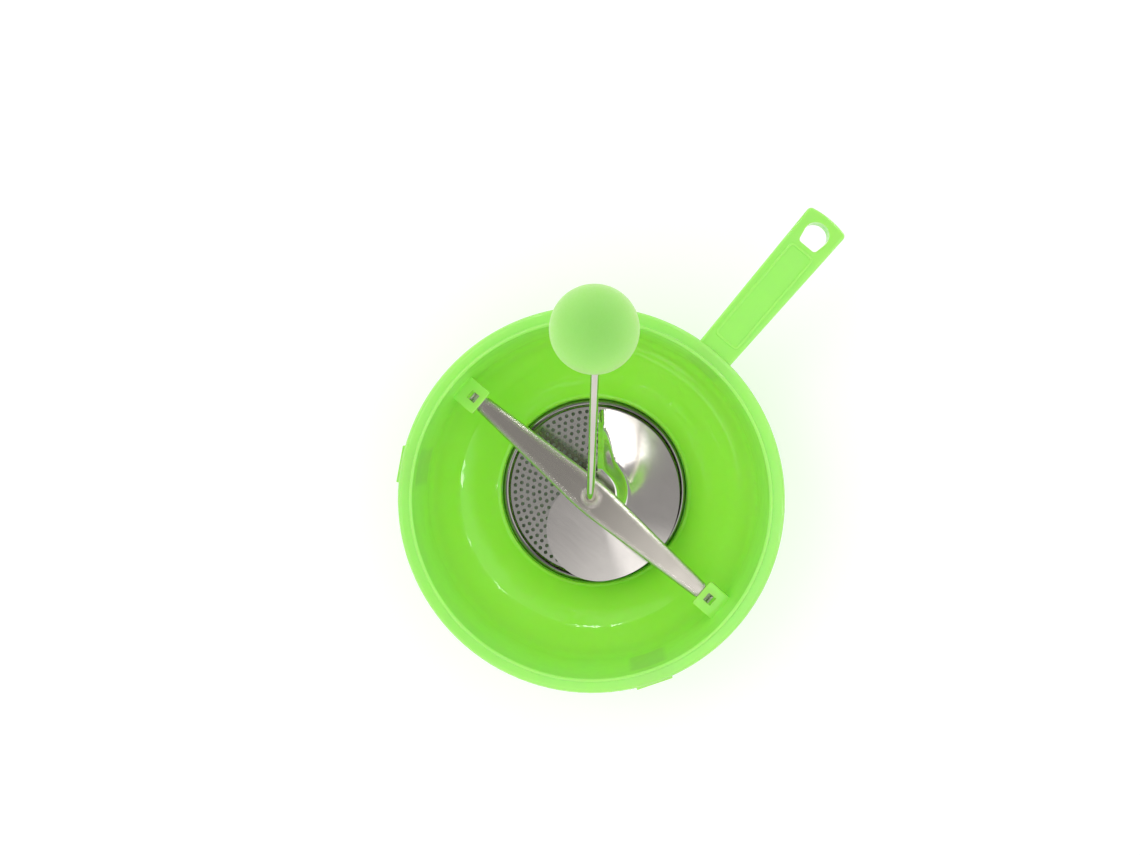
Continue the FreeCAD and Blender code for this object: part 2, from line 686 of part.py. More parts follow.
def crank_rod():
    """Round rod bent out to an arm and up to the knob's pin, with a square shank and a pilot tip."""
    low, high, pin = arm_ends()
    past = lock_height() + LOCK_THICKNESS + ROD_PAST_LOCK
    bend_foot = Vector(0, 0, ROD_STRAIGHT_TOP)
    upright = Part.makeCylinder(ROD_RADIUS, ROD_STRAIGHT_TOP - HUB_TOP, Vector(0, 0, HUB_TOP))
    first_bend = rod_bend(bend_foot, bend_foot + Vector(ROD_BEND, 0, 0))
    arm = Part.makeCylinder(ROD_RADIUS, (high - low).Length, low, high - low)
    second_bend = rod_bend(pin, pin - Vector(ROD_BEND, 0, 0))
    pin_length = knob_centre().z + past - pin.z
    knob_pin = Part.makeCylinder(ROD_RADIUS, pin_length, pin)
    collar = Part.makeCylinder(STOP_RADIUS, STOP_THICKNESS, pin + UP * STOP_RISE)
    half = SQUARE_SIDE / 2
    shank_foot = HUB_TOP - BLADE_SHEET - WASHER_THICKNESS
    shank = block(-half, half, -half, half, shank_foot, HUB_TOP)
    pilot = Part.makeCylinder(PILOT_RADIUS, HUB_TOP - PILOT_TIP, Vector(0, 0, PILOT_TIP))
    pilot_end = edges_at(pilot, lambda p: abs(p.z - PILOT_TIP) < SAME)
    pilot = pilot.makeChamfer(PILOT_RADIUS / 3, pilot_end)
    pieces = [first_bend, arm, second_bend, knob_pin, collar, shank, pilot]
    return on_crank(upright.fuse(pieces).removeSplitter())


def on_pin(shape):
    """Places a shape made round the knob's middle onto the crank's pin."""
    copy = shape.copy()
    copy.translate(knob_centre())
    return on_crank(copy)


def arc_about(radius, first, last):
    """Arc of a circle about the knob's middle, between two angles in the section."""
    points = []
    for share in (0.0, 0.5, 1.0):
        angle = math.radians(first + share * (last - first))
        points.append(in_section(radius * math.cos(angle), radius * math.sin(angle)))
    return Part.Arc(*points).toShape()


def chain(points):
    """Straight edges through points of the section."""
    placed = [in_section(u, v) for u, v in points]
    return [Part.LineSegment(a, b).toShape() for a, b in zip(placed, placed[1:])]


def knob_lower_half():
    """Lower shell of the ball, with the sleeve that turns on the rod and a lip for the lap joint."""
    bore = ROD_RADIUS + RUNNING_GAP
    inner = KNOB_RADIUS - KNOB_WALL
    lip = KNOB_RADIUS - KNOB_WALL / 2
    bottom = -math.degrees(math.acos(bore / KNOB_RADIUS))
    root = -math.degrees(math.acos(SLEEVE_RADIUS / inner))
    outside = arc_about(KNOB_RADIUS, bottom, 0)
    inside = arc_about(inner, 0, root)
    lap = chain([(KNOB_RADIUS, 0), (lip, 0), (lip, JOINT_DEPTH), (inner, JOINT_DEPTH), (inner, 0)])
    root_height = -math.sqrt(inner * inner - SLEEVE_RADIUS * SLEEVE_RADIUS)
    bottom_height = -math.sqrt(KNOB_RADIUS * KNOB_RADIUS - bore * bore)
    sleeve = chain([(SLEEVE_RADIUS, root_height), (SLEEVE_RADIUS, SLEEVE_TOP),
                    (bore, SLEEVE_TOP), (bore, bottom_height)])
    face = Part.Face(Part.Wire([outside] + lap + [inside] + sleeve))
    return on_pin(face.revolve(ORIGIN, UP, 360))


def knob_upper_half():
    """Upper shell of the ball, rebated for the lower half's lip."""
    inner = KNOB_RADIUS - KNOB_WALL
    rebate = KNOB_RADIUS - KNOB_WALL / 2 + SEAT_GAP
    depth = JOINT_DEPTH + SEAT_GAP
    start = math.degrees(math.asin(depth / inner))
    outside = arc_about(KNOB_RADIUS, 0, 90)
    inside = arc_about(inner, 90, start)
    top = chain([(0, KNOB_RADIUS), (0, inner)])
    lap = chain([(inner * math.cos(math.radians(start)), depth), (rebate, depth),
                 (rebate, 0), (KNOB_RADIUS, 0)])
    face = Part.Face(Part.Wire([outside] + top + [inside] + lap))
    return on_pin(face.revolve(ORIGIN, UP, 360))


def knob_lock_washer():
    """Push-on washer that keeps the knob on the rod, inside the ball."""
    foot = lock_height()
    return on_pin(ring(ROD_RADIUS + RUNNING_GAP / 2, LOCK_RADIUS, foot, foot + LOCK_THICKNESS))


# Bridge

def bridge_plan(inset, end):
    """Lens-shaped plan of the bridge, drawn in by an inset, out to an end along Y."""
    wide = BRIDGE_MID_WIDTH / 2 - inset
    shoulder = wide - BRIDGE_CROWN
    share = (end - BRIDGE_WAIST) / (hood_front() - BRIDGE_WAIST)
    narrow = shoulder - share * (shoulder - BRIDGE_END_WIDTH / 2 + inset)
    edges = []
    for side in (1, -1):
        tip = in_plan(side * narrow, side * end)
        near = in_plan(side * shoulder, side * BRIDGE_WAIST)
        mid = in_plan(side * wide, 0)
        far = in_plan(side * shoulder, -side * BRIDGE_WAIST)
        last = in_plan(side * narrow, -side * end)
        edges.append(Part.LineSegment(tip, near).toShape())
        edges.append(Part.Arc(near, mid, far).toShape())
        edges.append(Part.LineSegment(far, last).toShape())
        edges.append(Part.LineSegment(last, in_plan(-side * narrow, -side * end)).toShape())
    return Part.Wire(edges)


def bridge():
    """Pressed channel bar with tongues that hook up into the hoods' windows."""
    end = hood_front() - 2 * SLIP_GAP
    foot = BRIDGE_HEIGHT - FLANGE_MID
    body = prism(bridge_plan(0, end), foot, BRIDGE_HEIGHT)
    long_edges = edges_at(body, lambda p: abs(p.z - BRIDGE_HEIGHT) < SAME
                          and abs(p.y) < end - 1)
    body = body.makeFillet(BRIDGE_BEND, long_edges)
    hollow = prism(bridge_plan(BRIDGE_SHEET, end + FLANGE_MID), foot, BRIDGE_UNDER)
    inner_edges = edges_at(hollow, lambda p: abs(p.z - BRIDGE_UNDER) < SAME
                           and abs(p.y) < end - 1)
    body = body.cut(hollow.makeFillet(BRIDGE_BEND - BRIDGE_SHEET, inner_edges))
    wide = BRIDGE_MID_WIDTH
    end_foot = BRIDGE_HEIGHT - FLANGE_END
    under = foot - FLANGE_MID
    for side in (1, -1):
        wedge = [Vector(-wide, 0, foot), Vector(-wide, side * end, end_foot),
                 Vector(-wide, 2 * side * end, end_foot), Vector(-wide, 2 * side * end, under),
                 Vector(-wide, 0, under)]
        cutter = Part.Face(Part.makePolygon(wedge + wedge[:1])).extrude(Vector(2 * wide, 0, 0))
        body = body.cut(cutter)
    tongue_half = TONGUE_WIDTH / 2
    tip_half = TIP_WIDTH / 2
    tip_out = window_radius() + BRIDGE_SHEET
    root = end - BRIDGE_SHEET
    tongue = block(-tongue_half, tongue_half, root, tip_out, BRIDGE_UNDER, BRIDGE_HEIGHT)
    tip_top = ROOF_HEIGHT + HOOD_ROOF - SLIP_GAP
    tip = block(-tip_half, tip_half, tip_out - BRIDGE_SHEET, tip_out, BRIDGE_UNDER, tip_top)
    hook = tongue.fuse(tip)
    body = body.fuse([hook, turned(hook, 180)])
    neck_foot = BRIDGE_UNDER - NECK_DEPTH
    body = body.fuse(Part.makeCylinder(NECK_RADIUS, NECK_DEPTH, Vector(0, 0, neck_foot)))
    bore = Part.makeCylinder(NECK_BORE, BRIDGE_HEIGHT - neck_foot, Vector(0, 0, neck_foot))
    body = body.cut(bore).removeSplitter()
    entry = edges_at(body, lambda p: math.hypot(p.x, p.y) < SAME
                     and abs(p.z - BRIDGE_HEIGHT) < SAME)
    return body.makeFillet(NECK_ROUND, entry)


# Spring and the small parts on the rod

def spring_upper_washer():
    """Washer between the spring and the bridge, round the bridge's neck."""
    low = UPPER_WASHER
    return ring(NECK_RADIUS + SEAT_GAP, WASHER_RADIUS, low, low + WASHER_THICKNESS)


def spring_lower_washer():
    """Thrust washer between the spring, which stands still, and the turning hub."""
    low = LOWER_WASHER
    return ring(ROD_RADIUS + SLIP_GAP, WASHER_RADIUS, low, low + WASHER_THICKNESS)


def blade_clamp_washer():
    """Washer under the hub, with the square hole of the shank."""
    top = HUB_TOP - BLADE_SHEET
    body = Part.makeCylinder(CLAMP_RADIUS, WASHER_THICKNESS, Vector(0, 0, top - WASHER_THICKNESS))
    half = SQUARE_SIDE / 2 + RUNNING_GAP
    hole = block(-half, half, -half, half, top - WASHER_THICKNESS, top)
    return on_crank(body.cut(hole))


def blade_nut():
    """Hexagon nut that clamps the blade to the rod."""
    top = HUB_TOP - BLADE_SHEET - WASHER_THICKNESS
    corner = NUT_FLATS / math.sqrt(3)
    points = [polar(corner, 60 * i, top - NUT_HEIGHT) for i in range(6)]
    body = Part.Face(Part.makePolygon(points + points[:1])).extrude(Vector(0, 0, NUT_HEIGHT))
    hole = Part.makeCylinder(PILOT_RADIUS + RUNNING_GAP / 2, NUT_HEIGHT,
                             Vector(0, 0, top - NUT_HEIGHT))
    return on_crank(body.cut(hole))


def biarc(p0, t0, p1, t1):
    """Two arcs that leave p0 along t0 and reach p1 along t1, meeting smoothly."""
    gap = p1 - p0
    both = t0 + t1
    bend = 2 * (1 - t0.dot(t1))
    pull = gap.dot(both)
    reach = (math.sqrt(pull * pull + bend * gap.dot(gap)) - pull) / bend
    corners = (p0 + t0 * reach, p1 - t1 * reach)
    joint = (corners[0] + corners[1]) * 0.5
    edges = []
    for first, corner, last in ((p0, corners[0], joint), (joint, corners[1], p1)):
        half = (first - corner).getAngle(last - corner) / 2
        toward = ((first + last) * 0.5 - corner).normalize()
        middle = corner + toward * (reach / math.cos(half) - reach * math.tan(half))
        edges.append(Part.Arc(first, middle, last).toShape())
    return edges


def coil_height(turn, low, high):
    """Height of the wire's middle after some turns: close end turns and an even pitch between."""
    body_turns = COIL_TURNS - 2
    pitch = (high - low - 2 * END_PITCH) / body_turns
    if turn < 1:
        return low + END_PITCH * turn
    if turn > COIL_TURNS - 1:
        return high - END_PITCH * (COIL_TURNS - turn)
    return low + END_PITCH + pitch * (turn - 1)


def spring():
    """Compression spring between the two washers, one unbroken wire."""
    low = LOWER_WASHER + WASHER_THICKNESS + SEAT_GAP + WIRE_RADIUS
    high = UPPER_WASHER - SEAT_GAP - WIRE_RADIUS
    small = 1e-4

    def on_coil(turn):
        return polar(COIL_RADIUS, 360 * turn, coil_height(turn, low, high))

    def along_coil(turn):
        return (on_coil(turn + small) - on_coil(turn - small)).normalize()

    edges = []
    for i in range(COIL_ARCS * COIL_TURNS):
        first = i / COIL_ARCS
        last = (i + 1) / COIL_ARCS
        edges += biarc(on_coil(first), along_coil(first), on_coil(last), along_coil(last))
    path = Part.Wire(edges)
    start = on_coil(0)
    section = Part.Wire(Part.Circle(start, along_coil(0), WIRE_RADIUS).toShape())
    maker = Part.BRepOffsetAPI.MakePipeShell(path)
    maker.add(section)
    maker.build()
    maker.makeSolid()
    fine = 48
    least = min((on_coil(i / fine) - on_coil(i / fine + 1)).Length
                for i in range(fine * (COIL_TURNS - 1) + 1))
    print("spring: least gap to itself %.2f mm" % (least - 2 * WIRE_RADIUS))
    return maker.shape()


PIECES = [bowl, sieve_disc, blade, blade_clamp_washer, blade_nut, crank_rod, knob_lower_half,
          knob_upper_half, knob_lock_washer, bridge, spring, spring_upper_washer,
          spring_lower_washer]


def main():
    os.makedirs("parts", exist_ok=True)
    for make in PIECES:
        shape = make()
        shape.exportStep("parts/%s.step" % make.__name__)
        print("%-20s %d solid(s), %.0f mm3, valid %s"
              % (make.__name__, len(shape.Solids), shape.Volume, shape.isValid()))


main()
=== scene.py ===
"""Dresses a hand-cranked food mill: green mouldings, bright steel, a working spring and a pale studio."""
import json
import math

import bpy
import numpy as np
from bpy.props import FloatProperty, FloatVectorProperty, IntProperty, PointerProperty
from bpy.types import Operator, Panel, PropertyGroup
from mathutils import Euler, Matrix, Vector


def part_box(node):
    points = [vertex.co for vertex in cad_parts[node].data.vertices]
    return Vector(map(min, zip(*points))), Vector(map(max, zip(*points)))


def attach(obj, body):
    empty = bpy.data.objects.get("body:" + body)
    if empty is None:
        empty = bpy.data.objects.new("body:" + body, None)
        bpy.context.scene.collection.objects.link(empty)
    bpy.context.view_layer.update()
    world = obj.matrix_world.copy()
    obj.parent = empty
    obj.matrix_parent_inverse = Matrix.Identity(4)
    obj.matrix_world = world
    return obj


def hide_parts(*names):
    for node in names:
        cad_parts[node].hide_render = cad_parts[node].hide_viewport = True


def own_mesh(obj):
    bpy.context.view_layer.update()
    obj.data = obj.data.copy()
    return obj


bl_info = {
    "name": "Food Mill",
    "version": (1, 0, 0),
    "blender": (4, 5, 0),
    "location": "View3D > Sidebar > Food Mill",
    "description": "Finishes the pieces of a hand-cranked food mill and sets up its studio",
    "category": "Object",
}

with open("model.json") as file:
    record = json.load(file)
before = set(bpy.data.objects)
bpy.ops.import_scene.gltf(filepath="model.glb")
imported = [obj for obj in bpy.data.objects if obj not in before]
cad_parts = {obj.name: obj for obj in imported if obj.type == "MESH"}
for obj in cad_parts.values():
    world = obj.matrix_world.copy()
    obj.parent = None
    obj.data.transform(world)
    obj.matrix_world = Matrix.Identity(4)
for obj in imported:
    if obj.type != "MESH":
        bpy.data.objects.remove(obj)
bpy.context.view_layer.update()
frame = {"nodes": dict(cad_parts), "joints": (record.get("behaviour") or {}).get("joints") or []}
SPRING_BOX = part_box("spring")
MM = 0.001

# Grain of the finishes in features per metre, with its strength or depth
CLOUDS = 28.0
CLOUD_STRENGTH = 0.08
SKIN = 900.0
RIPPLES = 55.0
RIPPLE_DEPTH = 0.35 * MM
RIPPLE_STRENGTH = 0.8
FROST = 2200.0
FROST_DEPTH = 0.02 * MM
HANDLING = 45.0
HANDLED_TINT = 0.86
LINE_DEPTH = 0.01 * MM
LINE_STRENGTH = 0.04
BEVEL_SAMPLES = 8

# Brushed lines of the steel pieces: the stretch of X, Y and Z, and lines per metre
DISC_LINES = ((1.0, 0.05, 1.0), 1500.0)
BLADE_LINES = ((1.0, 0.08, 1.0), 900.0)
BRIDGE_LINES = ((1.0, 0.02, 1.0), 1800.0)
ROD_LINES = ((1.0, 1.0, 0.2), 1600.0)
SPRING_LINES = ((1.0, 1.0, 1.0), 1600.0)
WASHER_LINES = ((1.0, 1.0, 1.0), 1400.0)

# Plastic: refraction, and how far red, green and blue light wander as shares of the glow depth
PLASTIC_IOR = 1.49
WANDER = (0.7, 1.0, 0.4)

# Rest lugs round the bowl, and the blurred edges of their painted shadow and of the disc's painted dark edge
LUGS = 3
LUG_SHADOW_BLUR = 1.5 * MM
BEAD_BLUR = 0.5 * MM

# Spring mesh: rings in each turn, points in each ring, and the share of the wire's radius cut off at each end
RINGS_PER_TURN = 48
RING_POINTS = 16
GROUND_OFF = 0.35

# Inputs A and B and the result of a Mix node, by the kind of value
MIX_SOCKETS = {"FLOAT": (2, 3, 0), "RGBA": (6, 7, 2)}
WHITE = (1.0, 1.0, 1.0, 1.0)

# Stage: the open floor's lift comes in between two distances from the axis, leaving painted shade on the
# floor under and round the mill; the mirrored room changes between two values of a direction's Y (bright to
# dark ceiling) or Z (white walls to ceiling)
FLOOR_HALF = 6.0
PAINTED_SHADE_RADIUS = 0.06
FULL_LIFT_RADIUS = 0.1
CEILING_FROM = -0.15
CEILING_TO = -0.03
WALL_TOP = 0.45
CEILING_FOOT = 0.75
LIT_POINT = (0, 0, 0.05)
SOFTBOX_PLACE = (-0.15, 0.66, 1.35)
SOFTBOX_SIDE = 0.55
PANE_DISTANCE = 1.3
# Azimuth and elevation in degrees, and width and height in metres, of the window panes at the handle's side
PANES = (
    (-61, 30, 0.30, 0.10),
    (-30, 29, 0.10, 0.06),
    (-6, 31, 0.20, 0.16),
    (15, 28, 0.20, 0.06),
    (41, 30, 0.20, 0.10),
    (61, 30, 0.35, 0.10),
)


def colour(name, description, default):
    """Colour property with three channels."""
    return FloatVectorProperty(name=name, description=description, default=default,
                               subtype="COLOR", size=3, min=0.0, max=1.0)


def share(name, description, default):
    """Property from 0 to 1."""
    return FloatProperty(name=name, description=description, default=default,
                         subtype="FACTOR", min=0.0, max=1.0)


def length(name, description, default):
    """Length property in metres."""
    return FloatProperty(name=name, description=description, default=default,
                         subtype="DISTANCE", unit="LENGTH", precision=5, min=0.0)


class MillPlastic(PropertyGroup):
    """Finish of the bowl and of the knob."""

    # Bowl tones from its foot up: painted shade at the foot, painted light shining through the thin rim and
    # handle
    bowl_deep: colour("Bowl, deep", "Colour of the moulding round its foot", (0.42, 0.99, 0.065))
    bowl: colour("Bowl", "Main colour of the bowl moulding", (0.475, 1.0, 0.12))
    bowl_pale: colour("Bowl, pale", "Colour of the thin rim and handle", (0.40, 0.875, 0.175))
    # Knob tones from its foot up: painted light shining through the lower ball, painted shade on its top
    knob_pale: colour("Knob, pale", "Colour round and under the ball", (0.56, 0.99, 0.29))
    knob: colour("Knob", "Colour between the ball's side and top", (0.42, 0.86, 0.20))
    knob_deep: colour("Knob, deep", "Colour on top of the ball", (0.29, 0.68, 0.125))
    glow: share("Glow", "Share of light that scatters inside the plastic", 0.85)
    bowl_depth: length("Bowl glow depth", "How far light wanders inside the bowl's plastic", 0.003)
    knob_depth: length("Knob glow depth", "How far light wanders inside the knob's plastic", 0.0025)
    bowl_gloss: share("Bowl roughness", "Roughness of the bowl's moulded skin", 0.045)
    knob_gloss: share("Knob roughness", "Roughness of the frosted knob", 0.55)
    knob_frost: share("Knob frost", "Strength of the frosting's fine bumps", 0.4)
    knob_haze: share("Knob haze", "Pale haze towards the edges of the frosted knob", 0.15)
    haze_spread: share("Haze spread", "Roughness of the knob's haze", 0.4)
    # The lug settings place a painted shadow: the wall's colour is darkened where a lug stands behind it
    lug_width: length("Lug width", "Width of the rest lugs, which show through the wall", 0.02)
    lug_low: length("Lug foot", "Height of the lugs' lower tread", 0.061)
    lug_high: length("Lug top", "Height of the lugs' upper end", 0.086)
    wall_radius: length("Wall radius", "Radius inside which the wall is shaded by its lugs", 0.0952)
    lug_painted_shadow: share("Lug shade", "How much darker the wall is where a lug stands behind it", 0.13)


class MillSteel(PropertyGroup):
    """Finish of the steel pieces."""

    sheet: colour("Sheet", "Colour of the pressed sheet", (0.82, 0.775, 0.735))
    disc: colour("Disc", "Colour of the perforated disc", (0.70, 0.675, 0.635))
    strip: colour("Strip", "Colour of the bridge's strip", (0.62, 0.58, 0.52))
    wire: colour("Wire", "Colour of the rod and the spring", (0.70, 0.655, 0.60))
    # The bead's colour is darkened as a painted dark reflection of the bowl round it
    bead: length("Bead", "Width of the disc's dull pressed edge", 5 * MM)
    bead_painted_shade: share("Bead shade", "Brightness of that edge against the rest of the disc", 0.42)
    bend: length("Bend", "Radius over which the bridge's bends are softened in the light", 4.5 * MM)
    polish: share("Polish", "Roughness of the polished blade and rod", 0.14)
    brush: share("Brush", "Roughness of the brushed bridge and disc", 0.13)


class MillSpring(PropertyGroup):
    """Sizes of the spring under the bridge."""

    turns: IntProperty(name="Turns", description="Turns of wire, closed ends included",
                       default=7, min=3, max=20)
    wire_radius: length("Wire radius", "Radius of the spring wire", 0.7 * MM)
    end_rise: length("End rise", "Rise of the first and of the last turn", 1.9 * MM)


class MillStage(PropertyGroup):
    """Floor, light and camera."""

    floor: colour("Floor", "Colour of the floor", (0.86, 0.86, 0.86))
    lift: share("Lift", "How much whiter the open floor looks than it lights", 0.24)
    pane: FloatProperty(name="Window panes", description="Brightness of the panes that the mill mirrors",
                        default=12.0, min=0.0)
    fill: FloatProperty(name="Fill light", description="Power of the overhead softbox",
                        default=1.6, min=0.0, unit="POWER")
    sky: share("Sky", "Strength of the even light from all sides", 0.96)
    ceiling_bright: FloatProperty(name="Ceiling, bright side", default=1.4, min=0.0,
                                  description="Brightness of the ceiling towards -Y, in reflections")
    ceiling_dark: FloatProperty(name="Ceiling, dark side", default=0.33, min=0.0,
                                description="Brightness of the ceiling towards +Y, in reflections")
    lens: FloatProperty(name="Lens", description="Focal length of the camera",
                        default=34.33, min=1.0, unit="CAMERA")
    eye: FloatVectorProperty(name="Eye", description="Place of the camera",
                             default=(0.04924, 0.01281, 0.6653), subtype="TRANSLATION",
                             unit="LENGTH", size=3)
    look: FloatVectorProperty(name="Look", description="Direction that the camera looks in",
                              default=(-0.04611, 0.03479, -1.0), subtype="DIRECTION", size=3)
    up: FloatVectorProperty(name="Up", description="Direction that is up in the picture",
                            default=(0.76098, 0.64878, 0.0), subtype="DIRECTION", size=3)


# Material nodes

def new_material(name):
    """Fresh material with its node tree and its Principled shader."""
    made = bpy.data.materials.new(name)
    made.use_nodes = True
    tree = made.node_tree
    return made, tree, tree.nodes["Principled BSDF"]


def own_metres(tree, stretch=(1.0, 1.0, 1.0), turn=0.0):
    """The piece's own coordinates in metres, with each axis multiplied by a stretch, then turned about Z."""
    coords = tree.nodes.new("ShaderNodeTexCoord")
    mapping = tree.nodes.new("ShaderNodeMapping")
    mapping.inputs["Scale"].default_value = stretch
    mapping.inputs["Rotation"].default_value = (0.0, 0.0, turn)
    tree.links.new(coords.outputs["Object"], mapping.inputs["Vector"])
    return mapping.outputs["Vector"]


def grain(tree, vector, scale, detail=2.0):
    """Noise of a scale per metre over some coordinates, from 0 to 1."""
    noise = tree.nodes.new("ShaderNodeTexNoise")
    noise.inputs["Scale"].default_value = scale
    noise.inputs["Detail"].default_value = detail
    tree.links.new(vector, noise.inputs["Vector"])
    return noise.outputs[0]


def spread(tree, value, low, high, first=0.3, last=0.7):
    """A value between first and last, carried to the range between low and high."""
    mapped = tree.nodes.new("ShaderNodeMapRange")
    mapped.inputs["From Min"].default_value = first
    mapped.inputs["From Max"].default_value = last
    mapped.inputs["To Min"].default_value = low
    mapped.inputs["To Max"].default_value = high
    tree.links.new(value, mapped.inputs["Value"])
    return mapped.outputs["Result"]


def joined(tree, operation, *values):
    """Values taken together by a math operation, one after the other."""
    total = values[0]
    for value in values[1:]:
        node = tree.nodes.new("ShaderNodeMath")
        node.operation = operation
        tree.links.new(total, node.inputs[0])
        tree.links.new(value, node.inputs[1])
        total = node.outputs[0]
    return total


def axes(tree, vector):
    """Outputs X, Y and Z of a vector."""
    parts = tree.nodes.new("ShaderNodeSeparateXYZ")
    tree.links.new(vector, parts.inputs["Vector"])
    return parts.outputs


def fed(tree, socket, value):
    """Links another node's output to a socket, or sets a plain value on it."""
    if isinstance(value, bpy.types.NodeSocket):
        tree.links.new(value, socket)
    else:
        socket.default_value = value


def mixed(tree, kind, amount, first, last):
    """Number or colour that is the first where an amount is 0 and the last where it is 1."""
    at_first, at_last, at_result = MIX_SOCKETS[kind]
    mix = tree.nodes.new("ShaderNodeMix")
    mix.data_type = kind
    fed(tree, mix.inputs[at_first], first)
    fed(tree, mix.inputs[at_last], last)
    tree.links.new(amount, mix.inputs[0])
    return mix.outputs[at_result]


def toned(tree, amount, tones):
    """Colour along a row of tones, evenly spaced from 0 to 1."""
    ramp = tree.nodes.new("ShaderNodeValToRGB")
    stops = ramp.color_ramp.elements
    while len(stops) < len(tones):
        stops.new(0.5)
    for i, tone in enumerate(tones):
        stops[i].position = i / (len(tones) - 1)
        stops[i].color = (*tone, 1.0)
    tree.links.new(amount, ramp.inputs["Fac"])
    return ramp.outputs["Color"]


def bumped(tree, height, depth, strength, below=None):
    """Normal of a surface raised by a height from 0 to 1, of some depth in metres, over another normal."""
    bump = tree.nodes.new("ShaderNodeBump")
    bump.inputs["Strength"].default_value = strength
    bump.inputs["Distance"].default_value = depth
    tree.links.new(height, bump.inputs["Height"])
    if below is not None:
        tree.links.new(below, bump.inputs["Normal"])
    return bump.outputs["Normal"]


def from_axis(tree):
    """Distance from the mill's upright axis, in metres."""
    away = tree.nodes.new("ShaderNodeVectorMath")
    away.operation = "LENGTH"
    tree.links.new(own_metres(tree, (1.0, 1.0, 0.0)), away.inputs[0])
    return away.outputs["Value"]


def shaded(tree, shader, mask, value, saturation=1.0):
    """Paints shade: dims the colour that a shader has so far, and its saturation, where a mask is 1."""
    shade = tree.nodes.new("ShaderNodeHueSaturation")
    shade.inputs["Saturation"].default_value = saturation
    shade.inputs["Value"].default_value = value
    tree.links.new(mask, shade.inputs["Fac"])
    tree.links.new(shader.inputs["Base Color"].links[0].from_socket, shade.inputs["Color"])
    tree.links.new(shade.outputs["Color"], shader.inputs["Base Color"])


def seen_directly(tree):
    """1 for rays from the eye, off bright metal or through clear plastic, and 0 for the rest."""
    path = tree.nodes.new("ShaderNodeLightPath").outputs
    return joined(tree, "MAXIMUM", path["Is Camera Ray"], path["Is Glossy Ray"], path["Is Transmission Ray"])


def plastic(name, tones, low, high, roughness, glow, depth, frost=0.0):
    """Translucent moulding: tones from its foot up, which paint the light and shade the plastic lets through,
    clouds, light scattered inside, ripples and any frost.
    """
    made, tree, shader = new_material(name)
    metres = own_metres(tree)
    # Tones by height are painted light and painted shade, not the plastic's own colour
    climb = spread(tree, axes(tree, metres)["Z"], 0.0, 1.0, low, high)
    cloud = spread(tree, grain(tree, metres, CLOUDS, 3.0), -CLOUD_STRENGTH, CLOUD_STRENGTH)
    tone = toned(tree, joined(tree, "ADD", climb, cloud), tones)
    tree.links.new(tone, shader.inputs["Base Color"])
    smoothest = 0.7 * roughness
    roughest = 1.4 * roughness
    skin = spread(tree, grain(tree, metres, SKIN), smoothest, roughest)
    tree.links.new(skin, shader.inputs["Roughness"])
    normal = bumped(tree, grain(tree, metres, RIPPLES), RIPPLE_DEPTH, RIPPLE_STRENGTH)
    if frost:
        normal = bumped(tree, grain(tree, metres, FROST, 1.0), FROST_DEPTH, frost, normal)
    tree.links.new(normal, shader.inputs["Normal"])
    shader.inputs["IOR"].default_value = PLASTIC_IOR
    shader.inputs["Subsurface Weight"].default_value = glow
    shader.inputs["Subsurface Scale"].default_value = depth
    shader.inputs["Subsurface Radius"].default_value = WANDER
    return made, tree, shader


def paint_lug_shadows(tree, shader, look):
    """Painted shadow of the rest lugs: darkens a wall's colour where a lug stands behind it, in bands round
    the axis between two heights.
    """
    half = look.lug_width / 2
    soft = LUG_SHADOW_BLUR
    bands = []
    for i in range(LUGS):
        along = axes(tree, own_metres(tree, turn=2 * math.pi * i / LUGS))
        size = tree.nodes.new("ShaderNodeMath")
        size.operation = "ABSOLUTE"
        tree.links.new(along["Y"], size.inputs[0])
        within = spread(tree, size.outputs[0], 1.0, 0.0, half - soft, half + soft)
        bands.append(joined(tree, "MULTIPLY", within, spread(tree, along["X"], 0.0, 1.0, 0.0, half)))
    height = axes(tree, own_metres(tree))["Z"]
    over = spread(tree, height, 0.0, 1.0, look.lug_low - soft, look.lug_low + soft)
    under = spread(tree, height, 1.0, 0.0, look.lug_high - soft, look.lug_high + soft)
    inside = spread(tree, from_axis(tree), 1.0, 0.0, look.wall_radius, look.wall_radius + soft)
    mask = joined(tree, "MULTIPLY", joined(tree, "ADD", *bands), over, under, inside)
    greyed = look.lug_painted_shadow / 3
    shaded(tree, shader, mask, 1.0 - look.lug_painted_shadow, 1.0 - greyed)


def steel(name, tint, roughness, stretch, scale, bend=0.0):
    """Bright stainless: lines along the least stretched axis, faint handling marks and softened bends."""
    made, tree, shader = new_material(name)
    metres = own_metres(tree)
    lines = grain(tree, own_metres(tree, stretch), scale, 3.0)
    handled = grain(tree, metres, HANDLING, 4.0)
    dull = tuple(HANDLED_TINT * channel for channel in tint)
    worn = mixed(tree, "RGBA", spread(tree, handled, 0.0, 1.0), (*tint, 1.0), (*dull, 1.0))
    tree.links.new(worn, shader.inputs["Base Color"])
    uneven = joined(tree, "ADD", spread(tree, lines, 0.9 * roughness, 1.1 * roughness),
                    spread(tree, handled, -0.2 * roughness, 0.3 * roughness))
    tree.links.new(uneven, shader.inputs["Roughness"])
    softened = None
    if bend:
        corner = tree.nodes.new("ShaderNodeBevel")
        corner.samples = BEVEL_SAMPLES
        corner.inputs["Radius"].default_value = bend
        softened = corner.outputs["Normal"]
    tree.links.new(bumped(tree, lines, LINE_DEPTH, LINE_STRENGTH, softened), shader.inputs["Normal"])
    shader.inputs["Metallic"].default_value = 1.0
    return made


# Meshes

